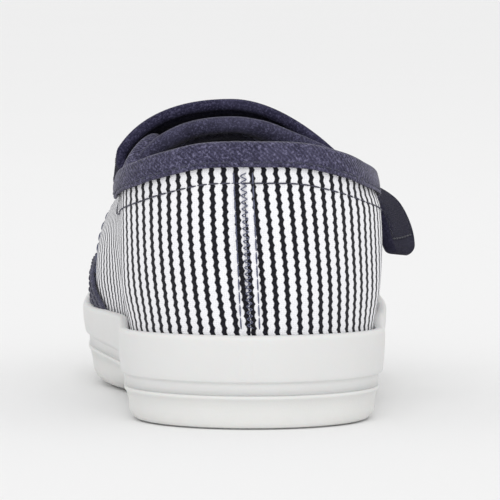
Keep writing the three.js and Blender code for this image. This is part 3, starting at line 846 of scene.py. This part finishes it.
def folded_tape():
    """The tape folded over the canvas edge, soft at the fold and pulled in where it is sewn."""
    half, middle, reach, rise = TAPE["half"], -WALL / 2, TAPE["reach"], TAPE["rise"]
    leg = np.linspace(TAPE["depth"], 0.25, 12)
    fold = np.linspace(0, np.pi, 15)
    sewn = 0.18 * hump(leg - TAPE["row"], 0.45)
    puff = 0.16 * np.sin(np.pi * np.clip((leg - 0.2) / 2.7, 0, 1)) - sewn
    outer = np.stack([middle + reach + puff, leg], -1)
    over = np.stack([middle + reach * np.cos(fold), -rise * np.sin(fold) ** 0.8], -1)
    inner = np.stack([middle - reach + 0 * leg, leg], -1)[::-1]
    centre = np.concatenate([outer, over, inner])
    along = unit(np.gradient(centre, axis=0))
    side = np.stack([along[:, 1], -along[:, 0]], -1)
    order = np.arange(len(centre))
    end = np.minimum(1, 0.35 + np.minimum(order, order[::-1]) / 2)[:, None]
    profile = np.concatenate([centre - side * half * end, (centre + side * half * end)[::-1]])
    points = np.stack([EDGE.over(out, depth) for out, depth in profile], 1)
    tape = run_length(profile)
    cloth = three(EDGE.run[:, None], tape[None, :])
    faces = quads(len(EDGE.s), len(profile), loop=True, ring=True)
    return piece("folded_collar_tape", points, faces, "tape", [FINISH["tape"]], cloth=cloth)


def border(count, size, radius):
    """Shares of a width, close together within a radius of both ends."""
    arc = radius * (1 - np.cos(np.linspace(0, np.pi / 2, 7)))
    middle = np.linspace(radius, size - radius, count)[1:-1]
    return np.concatenate([arc, middle, size - arc[::-1]]) / size


def pad(at, u, v, size, thickness, radius, dents=None):
    """A soft slab with round edges. at(u, v, out) gives the point at a distance from its middle face, and
    dents(u, v, edge) how much thinner it is, as a share, where edge is the distance from its border."""
    u, v = np.meshgrid(u, v, indexing="ij")
    edge = np.minimum(np.minimum(u, 1 - u) * size[0], np.minimum(v, 1 - v) * size[1])
    half = thickness / 2 * np.sqrt(1 - (1 - np.clip(edge / radius, 0, 1)) ** 2)
    if dents:
        half = half * (1 - dents(u, v, edge))
    columns, rows = u.shape
    points = np.concatenate([at(u, v, half).reshape(-1, 3), at(u, v, -half).reshape(-1, 3)])
    front = quads(columns, rows)
    faces = np.concatenate([front, front[:, ::-1] + columns * rows])
    face = three(u * size[0], v * size[1]).reshape(-1, 3)
    return points, faces, np.concatenate([face, face + (0.3, 0.2, 0)])


# y of its edges, places across the shoe of its ends, and how far its stitches lie inside its border
STRAP = {"back": 69, "front": 91, "root": -0.5, "end": 0.715, "length": 74, "thickness": 2.4, "inset": 2.3}
# where the free end starts, its narrowing, its slant, and how far its corners are rounded across and along it
STRAP_END = {"start": 0.86, "narrowing": 0.08, "slant": 0.016, "corner": 6, "corner_run": 4}


def on_strap(u, v, out):
    """A point of the strap: u from its root to its free end, v from its back edge to its front edge."""
    past = np.clip((u - STRAP_END["start"]) / (1 - STRAP_END["start"]), 0, 1)
    c = lerp(STRAP["root"], STRAP["end"], u) + past * STRAP_END["slant"] * v
    left = np.minimum((1 - u) * STRAP["length"] / STRAP_END["corner_run"], 1)
    rounding = STRAP_END["corner"] * (1 - np.sqrt(1 - (1 - left) ** 2))
    full = (STRAP["front"] - STRAP["back"]) / 2
    half = full * (1 - STRAP_END["narrowing"] * past**3) - rounding
    y = (STRAP["back"] + STRAP["front"]) / 2 + half * (2 * v - 1)
    share = 0.5 + (v - 0.5) * half / full
    back, flare = STRAP_LIFT(c)
    return across(y, c, back + flare * share + STRAP["thickness"] / 2 + out)


def touch_strap():
    width = STRAP["front"] - STRAP["back"]

    def dents(u, v, edge):
        uneven = 1 + np.sin(u * 41 + 2 * np.sin(v * 5)) * 0.4
        return 0.3 * hump(edge - STRAP["inset"], 0.6) - 0.06 * smooth(edge, 3, 8) * uneven

    u, v = border(120, STRAP["length"], 1.2), border(30, width, 1.2)
    points, faces, cloth = pad(on_strap, u, v, (STRAP["length"], width), STRAP["thickness"], 1.2, dents)
    made = piece("touch_strap", points, faces, "navy_canvas", [FINISH["strap"]], cloth=cloth)
    return made


def strap_stitches():
    """A row inside the border, and a box with a cross where the root is sewn down."""
    inset_u = STRAP["inset"] / STRAP["length"]
    inset_v = STRAP["inset"] / (STRAP["front"] - STRAP["back"])
    t = np.linspace(0, 1, 160)
    low, high = inset_u, 1 - 1.1 * inset_u
    sewn = 0.14
    ways = [
        (lerp(low, high, t), inset_v + 0 * t),
        (lerp(low, high, t), 1 - inset_v + 0 * t),
        (low + 0 * t, lerp(inset_v, 1 - inset_v, t)),
        (high + 0 * t, lerp(inset_v, 1 - inset_v, t)),
        (sewn + 0 * t, lerp(inset_v, 1 - inset_v, t)),
        (lerp(low, sewn, t), lerp(inset_v, 1 - inset_v, t)),
        (lerp(low, sewn, t), lerp(1 - inset_v, inset_v, t)),
    ]
    lines = sewn_lines(on_strap, ways, STRAP["thickness"] * 0.37, 2.2)
    stitches("strap_stitches", *lines, 0.19, "navy_canvas", FINISH["strap_thread"])


TONGUE = {
    "back": 62,
    "front": 112,
    "back_half": 0.54,  # half widths, as places across the shoe
    "front_half": 0.36,
    "skew": -0.02,
    "drop": 3.7,  # how far its face lies under the canvas
    "crown": 2.2,
    "thickness": 3.4,
    "inset": 4.0,  # how far its stitches lie inside its border
}
# place across the tongue from its medial to its lateral edge, rise of its back rim there
TONGUE_RIM = Table(
    (-1, 0.2),
    (-0.87, 1.2),
    (-0.8, 3.2),
    (-0.65, 2.8),
    (-0.4, 2.2),
    (0, 1.95),
    (0.2, 2.15),
    (0.4, 2.85),
    (0.6, 3.65),
    (0.8, 5.1),
    (0.9, 6.1),
    (1, 6.8),
)
TONGUE_SIZE = (50, 50)


def on_tongue(u, v, out):
    """A point of the tongue: u from its lateral to its medial edge, v from its front to its back edge."""
    side = 1 - 2 * u
    behind = smooth(v, 0.84, 1.0)
    back_half = TONGUE["back_half"] - 0.12 * behind * (side > 0)
    c = TONGUE["skew"] + lerp(TONGUE["front_half"], back_half, v) * side
    (rim,) = TONGUE_RIM(side)
    rise = lerp(TONGUE["crown"] * (1 - side**2) ** 3 * smooth(v, 0.2, 0.9), rim, behind)
    depth = TONGUE["drop"] - rise + TONGUE["thickness"] / 2
    return across(lerp(TONGUE["front"], TONGUE["back"], v), c, out - depth)


def padded_tongue():
    def dents(u, v, edge):
        from_back = (1 - v) * TONGUE_SIZE[1]
        behind = 0.34 * hump(from_back - TONGUE["inset"], 0.8)
        around = 0.25 * hump(edge - TONGUE["inset"], 0.8) * smooth(from_back, 4, 6)
        return behind + around - 0.05 * smooth(edge, 5, 12)

    u, v = border(70, TONGUE_SIZE[0], 1.7), border(56, TONGUE_SIZE[1], 1.7)
    points, faces, cloth = pad(on_tongue, u, v, TONGUE_SIZE, TONGUE["thickness"], 1.7, dents)
    made = piece("padded_tongue", points, faces, "navy_canvas", [FINISH["tongue"]], cloth=cloth)
    return made


def tongue_stitches():
    """The row under the rolled rim, on both faces."""
    t = np.linspace(0, 1, 120)
    inset = TONGUE["inset"] / TONGUE_SIZE[0]
    way = [(lerp(inset, 1 - inset, t), 1 - inset + 0 * t)]
    both = [sewn_lines(on_tongue, way, side * TONGUE["thickness"] * 0.34, 2.2, side) for side in (1, -1)]
    stitches("tongue_stitches", *join_lines(both), 0.18, "navy_canvas", FINISH["navy_thread"])


FASTENER = {"back": 71, "front": 89, "inner": 0.5, "outer": 0.66}


def fastener(name, slot, material, low, thickness):
    """One patch of the touch fastener between strap and quarter."""
    size = (9.5, FASTENER["front"] - FASTENER["back"])

    def at(u, v, out):
        c = lerp(FASTENER["inner"], FASTENER["outer"], u)
        y = lerp(FASTENER["back"], FASTENER["front"], v)
        return across(y, c, low + thickness / 2 + out)

    points, faces, cloth = pad(at, border(16, size[0], 0.4), border(26, size[1], 0.4), size, thickness, 0.4)
    return piece(name, points, faces, slot, [material], cloth=cloth)


TOE_CAP = {"gap": 0.3, "thickness": 0.7, "run": 62}
# share of the climb from foxing to crest, then y of the back edge there on the medial and on the lateral side
TOE_CAP_EDGE = Table(
    (0, 82, 108),
    (0.08, 90, 109),
    (0.16, 97, 111),
    (0.24, 108, 113),
    (0.36, 117, 117),
    (0.6, 122, 122),
    (1, 123, 123),
)


def on_toe_cap(u, climb, out):
    """A point of the toe cap: u from -1 to 1 round the toe from edge to edge, climb from foxing to crest."""
    g = lerp(FOOT_SHARE - 0.03, 1, climb)
    medial, lateral = TOE_CAP_EDGE(climb)
    y = np.where(u > 0, medial, lateral)
    t = 1 - (1 - place_of(y)) * np.abs(u)
    return surface(np.where(u > 0, -t, t), g, out)


def toe_cap():
    """The cloth over the toe, with its back edge turned under and its foot tucked behind the foxing.

    Where its back edge meets the foot, its two sheets stay 0.05 mm apart and the mesh is open."""
    half_run, turn = TOE_CAP["run"], 0.5
    bend = half_run - turn * np.cos(np.linspace(0, np.pi / 2, 6))[1:]
    side = np.concatenate([np.linspace(0, half_run - turn, 80), bend]) / half_run
    u = np.concatenate([-side[1:][::-1], side])
    climb = np.linspace(0, 1, 56) ** 1.6
    u, climb = np.meshgrid(u, climb, indexing="ij")
    columns, rows = u.shape
    edge = (1 - np.abs(u)) * half_run
    half = TOE_CAP["thickness"] / 2 * np.sqrt(1 - (1 - np.clip(edge / 0.45, 0, 1)) ** 2)
    turned = 0.22 * smooth(edge, 4.6, 3.6)
    middle = TOE_CAP["gap"] + TOE_CAP["thickness"] / 2
    foot = smooth(climb, 0, 0.04)
    outer = on_toe_cap(u, climb, (middle + half + turned * (half > 0.3)) * foot + 0.1 * (1 - foot))
    inner = on_toe_cap(u, climb, (middle - half) * foot + 0.05 * (1 - foot))
    points = np.concatenate([outer.reshape(-1, 3), inner.reshape(-1, 3)])
    front = quads(columns, rows)
    low = np.arange(columns - 1) * rows
    size = columns * rows
    foot_edge = np.stack([low, low + rows, low + rows + size, low + size], -1)
    faces = np.concatenate([front, front[:, ::-1] + size, foot_edge[:, ::-1]])
    run = run_length(outer)
    around = run - run[columns // 2]
    flat = three(lerp(around, outer[..., 0], climb), outer[..., 1] - outer[..., 2]).reshape(-1, 3)
    cloth = np.concatenate([flat, flat])
    return piece("toe_cap_cloth", points, faces, "navy_canvas", [FINISH["toe"]], cloth=cloth)


def toe_cap_stitches():
    """Two rows along the back edge, on each side."""
    climb = np.linspace(0.02, 1, 150) ** 1.6
    insets = [side * (1 - inset / TOE_CAP["run"]) for inset in (1.3, 3.6) for side in (1, -1)]
    ways = [(u + 0 * climb, climb) for u in insets]
    lines = sewn_lines(on_toe_cap, ways, TOE_CAP["gap"] + TOE_CAP["thickness"] + 0.22, 2.1)
    stitches("toe_cap_stitches", *lines, 0.17, "navy_canvas", FINISH["navy_thread"])


LINING_ROW = 7.0  # depth of the row that holds the lining


def collar_stitches():
    """The row that holds the lining below the tape, and the row that closes the tape."""
    behind = station(EDGE.s) < VAMP_SEAM["foot"]
    s, g = EDGE.below(LINING_ROW)
    row = seam_line(surface(s, g, 0.02)[behind], normal(s, g)[behind], 2.3, 0.92)
    stitches("lining_stitches", *row, 0.16, "canvas", FINISH["dark_thread"])
    s, g = EDGE.below(TAPE["row"])
    loop = np.append(np.arange(len(s)), 0)
    row = seam_line(surface(s, g, 0.97)[loop], normal(s, g)[loop], 2.1)
    stitches("tape_stitches", *row, 0.15, "tape", FINISH["navy_thread"])


def vamp_stitches():
    """Two rows along the quarters' front edge, on each side."""
    lines = []
    for side in (1, -1):
        for back in (1.4, 3.6):
            c = side * np.linspace(0.3, 0.86, 90)
            y = vamp_seam(c) - back
            points, out = across(y, c, 0.02), unit(across(y, c, 1.0) - across(y, c, 0.0))
            lines.append(seam_line(points, out, 2.2))
    stitches("vamp_stitches", *join_lines(lines), 0.16, "canvas", FINISH["grey_thread"])


def heel_place(z, away):
    """The place beside the heel seam at a height, found on the last."""
    radius, ds, dg = 24, 0.002, 0.001
    x = heel_seam(z) + away
    s = np.arcsin(np.clip(x / radius, -1, 1)) / radius
    g = np.full_like(z, 0.3)
    for _ in range(8):
        p = rib(s, g)
        s = s + (x - p[..., 0]) * (2 * ds / (rib(s + ds, g) - rib(s - ds, g))[..., 0])
        g = g + (z - p[..., 2]) * (2 * dg / (rib(s, g + dg) - rib(s, g - dg))[..., 2])
    return s, g


def heel_seam_threads():
    """Overlock stitches down the heel seam, and a row of stitches on each side of it."""
    low, high, step = 19.4, 49.6, 0.62
    z = np.linspace(low, high, 140)
    lines = []
    for away in (-SEAM_HALF + 0.15, SEAM_HALF - 0.15):
        s, g = heel_place(z, away + 0 * z)
        lines.append(seam_line(surface(s, g, 0.0), normal(s, g), 2.4, 0.94))
    stitches("heel_seam_stitches", *join_lines(lines), 0.15, "canvas", FINISH["grey_thread"])
    z = np.arange(low, high, step) + 0.2
    s, g = heel_place(z, np.where(np.arange(len(z)) % 2 == 0, step, -step))
    points, out = surface(s, g, 0.04), normal(s, g)
    stitches("overlock_threads", points[:-1], points[1:], out[:-1], 0.12, "canvas", FINISH["grey_thread"])


# ---------------------------------------------------------------- pieces of the sole
def rubber_foxing():
    """The rubber band round the upper's foot: groove, belly with mould lines at the back, round top edge."""
    s = ROUND
    _, _, band, top = SOLE(station(s))
    groove = band + GAP + GROOVE_HEIGHT
    away = outline(s)[:, 0] + 1.5
    mould = np.where(station(s) < 8, 0.07 * hump(np.abs(away) - 1.3, 0.22), 0)
    dip = ((1.36, -0.8), (1.26, -0.42), (1.06, -0.16), (0.78, -0.04), (0.6, 0.08), (0.5, 0.3))
    profile = [(1.42, band)] + [(inset, groove + rise) for inset, rise in dip]
    for t in np.linspace(0, 1, 12)[1:-1]:
        inset = 0.5 * (1 - t) ** 2.2 - mould * np.sin(np.pi * t) ** 0.3
        profile.append((inset, groove + 0.3 + t * (top - groove - 1.25)))
    edge = 0.95
    for a in np.linspace(0, np.pi / 2, 8):
        profile.append((edge - edge * np.cos(a), top - edge + edge * np.sin(a)))
    profile += [(1.5, top - 0.02), (1.8, top - 0.14), (FOXING_WALL - 0.04, top - 0.4)]
    profile.append((FOXING_WALL + FOXING_BATTER, band))
    points = np.stack([raised(inside(s, inset + 0 * s), z) for inset, z in profile], 1)
    girth = run_length(outline(s))
    cloth = three(girth[:, None], np.arange(len(profile))[None, :])
    faces = quads(len(s), len(profile), loop=True, ring=True)
    return piece("rubber_foxing", points, faces, "foxing_rubber", [FINISH["foxing"]], cloth=cloth)


def bed_points(s, profile, rows):
    """Points of a flat solid inside the outline, its end faces filled towards the last's axis.

    profile holds functions of SOLE's values: inset, and height, which also takes the share of the way in."""
    axis = crest(station(s))[:, :2]

    def at(inset, height, share):
        plan = lerp(inside(s, inset(SOLE(station(s))) + 0 * s), axis, share)
        return raised(plan, height(SOLE(plan[:, 1]), share))

    rings = [at(*profile[0], share) for share in np.linspace(1, 0, rows)]
    rings += [at(*corner, 0) for corner in profile[1:-1]]
    rings += [at(*profile[-1], share) for share in np.linspace(0, 1, rows)]
    return np.stack(rings, 1)


def bed_piece(name, profile, rows, s, slot, material, sharp=None):
    points = bed_points(s, profile, rows)
    columns, count = points.shape[:2]
    cloth = three(points[..., 0], points[..., 1])
    return piece(name, points, quads(columns, count, loop=True), slot, [material], cloth=cloth, sharp=sharp)


def bent(a, b, c, t):
    """A curve from a to c, drawn towards b."""
    return (1 - t) ** 2 * a + 2 * t * (1 - t) * b + t**2 * c


def rubber_outsole():
    """The outsole's edge, toe spring and arch, with wavy channels under heel and forefoot."""
    rim = ((1.42, 0.24), (0.3, 0.3), (0.06, 0.36), (0.0, 0.46))
    lift = rim[-1][1]
    profile = [(lambda k: k[1] + 1.5, lambda k, share: k[0])]
    for inset, rise in rim:
        profile.append((lambda k, inset=inset: k[1] + inset, lambda k, share, rise=rise: k[0] + rise))
    for t in np.linspace(0.2, 1, 6):
        profile.append(
            (
                lambda k, t=t: bent(k[1], 1.9 + 0.05 * k[1], SOLE_INSET, t),
                lambda k, share, t=t: k[0] + lift + bent(0, 0.12 * k[1], 0.6 * (k[2] - k[0]) - lift, t),
            )
        )
    lip = ((1.5, 0.95), (1.25, 0.75), (1.16, 0.5), (1.2, 0.24), (1.34, 0.06), (1.6, 0.0), (2.4, 0.0))
    for inset, drop in lip:
        profile.append((lambda k, inset=inset: inset, lambda k, share, drop=drop: k[2] - drop))
    made = bed_piece("rubber_outsole", profile, 10, PLAIN_ROUND, "sole_rubber", FINISH["outsole"], sharp=50)
    cut_channels(made)
    return made


TREAD = {"depth": 1.5, "width": 2.2, "pitch": 6.6, "wave": 2.2, "rim": 7.5}
TREAD_BLOCKS = ((12, 5), (80, 11))  # y of the first channel, number of channels


def cut_channels(sole):
    """Cuts the wavy channels out of the outsole. Each ends on a line inside the rim."""
    side = np.linspace(0.03, 0.97, 400)
    rim_left, rim_right = inside(-side, TREAD["rim"]), inside(side, TREAD["rim"])
    points, faces = [], []
    depth = TREAD["depth"]
    # across the channel in shares of its width, and up from the sole's underside
    section = ((-0.5, -2.0), (0.5, -2.0), (0.5, -0.01), (0.34, depth), (-0.34, depth), (-0.5, -0.01))
    rows = [first + TREAD["pitch"] * k for first, count in TREAD_BLOCKS for k in range(count)]
    for y in rows:
        left = np.interp(y, rim_left[:, 1], rim_left[:, 0])
        right = np.interp(y, rim_right[:, 1], rim_right[:, 0])
        x = np.linspace(left, right, 61)
        waved = y + TREAD["wave"] / 2 * np.cos(x / 10 * np.pi)
        floor = SOLE(waved)[0]
        tube = np.stack([three(x, waved + w * TREAD["width"], floor + z) for w, z in section], 1)
        start = sum(len(block) for block in points)
        points.append(tube.reshape(-1, 3))
        size = len(section)
        faces += (quads(len(x), size, ring=True) + start).tolist()
        faces.append([start + k for k in range(size)])
        faces.append([start + (len(x) - 1) * size + k for k in reversed(range(size))])
    mesh = bpy.data.meshes.new("channels")
    mesh.from_pydata(in_row(np.concatenate(points)).tolist(), [], faces)
    form = bmesh.new()
    form.from_mesh(mesh)
    bmesh.ops.recalc_face_normals(form, faces=form.faces)
    form.to_mesh(mesh)
    form.free()
    cutter = bpy.data.objects.new("channels", mesh)
    bpy.context.scene.collection.objects.link(cutter)
    cut = sole.modifiers.new("channels", "BOOLEAN")
    cut.operation = "DIFFERENCE"
    cut.solver = "EXACT"
    cut.object = cutter
    result = bpy.data.meshes.new_from_object(sole.evaluated_get(bpy.context.evaluated_depsgraph_get()))
    sole.modifiers.clear()
    old = sole.data
    sole.data = result
    sole.data.name = old.name
    bpy.data.objects.remove(cutter)


def cupped_insole():
    """The bed of the foot, cupped a little, with a round edge."""

    def top(k, share):
        return k[2] + GAP + INSOLE_THICKNESS - 0.9 * smooth(share, 0.0, 0.5) + 0.25 * smooth(share, 0.5, 1)

    profile = [
        (lambda k: INSOLE_INSET, lambda k, share: k[2] + GAP),
        (lambda k: INSOLE_INSET, lambda k, share: k[2] + GAP + INSOLE_THICKNESS - 0.7),
        (lambda k: INSOLE_INSET + 0.2, lambda k, share: k[2] + GAP + INSOLE_THICKNESS - 0.25),
        (lambda k: INSOLE_INSET + 0.7, top),
    ]
    return bed_piece("cupped_insole", profile, 14, PLAIN_ROUND, "lining", FINISH["insole"])


# ---------------------------------------------------------------- stage
def studio():
    """Pale floor, soft light from above and from behind the camera, and the camera."""
    scene = bpy.context.scene
    scene.view_settings.view_transform = "Standard"
    reach = 14
    mesh = bpy.data.meshes.new("floor")
    corners = [(-reach, -reach, 0), (reach, -reach, 0), (reach, reach, 0), (-reach, reach, 0)]
    mesh.from_pydata(corners, [], [(0, 1, 2, 3)])
    floor = bpy.data.objects.new("floor", mesh)
    scene.collection.objects.link(floor)
    paper = Finish("pale_paper", Specular_IOR_Level=0.1)
    fibre = paper.noise(1.5, 3)
    cloud = paper.noise(160, 2)
    shade = paper.mix(paper.scaled(cloud, 0.3), tone(239, 239, 239), tone(236, 236, 236))
    mesh.materials.append(paper.finish(shade, fibre, 0.02, paper.math("MULTIPLY_ADD", fibre, 0.1, 0.85)))

    world = bpy.data.worlds.new("world")
    scene.world = world
    world.use_nodes = True
    world.node_tree.nodes["Background"].inputs["Color"].default_value = (1, 1, 1, 1)
    world.node_tree.nodes["Background"].inputs["Strength"].default_value = 0.86

    lights = (
        # name, kind, settings, place, target
        ("overhead", "AREA", {"shape": "DISK", "size": 1.4, "energy": 1.6}, (0.1, 0.1, 1.5), (0, 0, 0.03)),
        ("front_light", "SUN", {"energy": 0.85, "angle": 0.9}, (0, -2, 1.2), (0, 0, 0)),
    )
    for name, kind, settings, place, target in lights:
        data = bpy.data.lights.new(name, kind)
        for setting, value in settings.items():
            setattr(data, setting, value)
        light = bpy.data.objects.new(name, data)
        light.location = place
        aim(light, target)
        scene.collection.objects.link(light)

    # a long lens behind the heel and a little above it
    camera = bpy.data.objects.new("camera", bpy.data.cameras.new("camera"))
    camera.location = (-0.0159, -1.0806, 0.101)
    camera.data.lens = 378
    camera.data.clip_start, camera.data.clip_end = 0.01, 60
    aim(camera, (-0.0001, 0, 0.0295))
    scene.collection.objects.link(camera)
    scene.camera = camera


def aim(thing, target):
    from_here = Vector(target) - thing.location
    thing.rotation_euler = from_here.to_track_quat("-Z", "Y").to_euler()


# middle, light and deep tones of the navy cloths
TAPE_TONES = (64, 62, 88), (120, 117, 146), (30, 28, 46)
STRAP_TONES = (54, 52, 74), (86, 84, 110), (30, 29, 46)
TONGUE_TONES = (58, 56, 80), (98, 96, 124), (32, 31, 48)
TOE_TONES = (64, 64, 86), (98, 98, 122), (38, 38, 56)
FINISH = {
    "canvas": striped_canvas(),
    "lining": lining_cloth("navy_lining", tone(30, 30, 42), tone(52, 52, 70)),
    "insole": lining_cloth("insole_cloth", tone(34, 34, 46), tone(62, 62, 80)),
    "tape": navy_cloth("tape_twill", TAPE_TONES, 0.62, 1.0, 0.2),
    # the strap and the tongue get painted shade inside their borders, and the strap also gets it over its
    # free end
    "strap": navy_cloth("strap_cloth", STRAP_TONES, 0.5, 0.2, 0.03, face=(22, 0.62), shaded_end=62, shine=0.04),
    "tongue": navy_cloth("tongue_cloth", TONGUE_TONES, 0.5, 0.2, 0.15, face=(50, 0.55)),
    "toe": navy_cloth("toe_cloth", TOE_TONES, 0.5, 0.0, 0.25),
    "foxing": white_rubber("foxing_rubber", tone(224, 224, 223), tone(219, 219, 218)),
    "outsole": white_rubber("outsole_rubber", tone(225, 225, 223), tone(220, 220, 218)),
    "loop": nylon_pile("loop_pile", tone(38, 38, 54), tone(82, 82, 104), 0.6),
    "hook": nylon_pile("hook_tape", tone(26, 26, 38), tone(60, 60, 78), 0.9),
    "navy_thread": thread("navy_thread", tone(40, 40, 58), tone(82, 82, 106)),
    "strap_thread": thread("strap_thread", tone(24, 24, 36), tone(46, 46, 62)),
    "dark_thread": thread("dark_thread", tone(36, 36, 52), tone(84, 84, 104)),
    "grey_thread": thread("grey_thread", tone(66, 70, 98), tone(116, 120, 146)),
}
EDGE = CollarEdge()

studio()
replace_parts(striped_upper(), "upper")
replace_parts(folded_tape(), "collar_binding")
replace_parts(touch_strap(), "strap")
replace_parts(padded_tongue(), "tongue")
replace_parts(toe_cap(), "toe_cap")
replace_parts(rubber_foxing(), "foxing")
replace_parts(rubber_outsole(), "outsole")
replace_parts(cupped_insole(), "insole")
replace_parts(fastener("loop_fastener", "loop_pile", FINISH["loop"], 0.3, 0.6), "loop_patch")
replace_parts(fastener("hook_fastener", "hook_tape", FINISH["hook"], 1.2, 0.6), "hook_patch")
strap_stitches()
tongue_stitches()
toe_cap_stitches()
collar_stitches()
vamp_stitches()
heel_seam_threads()
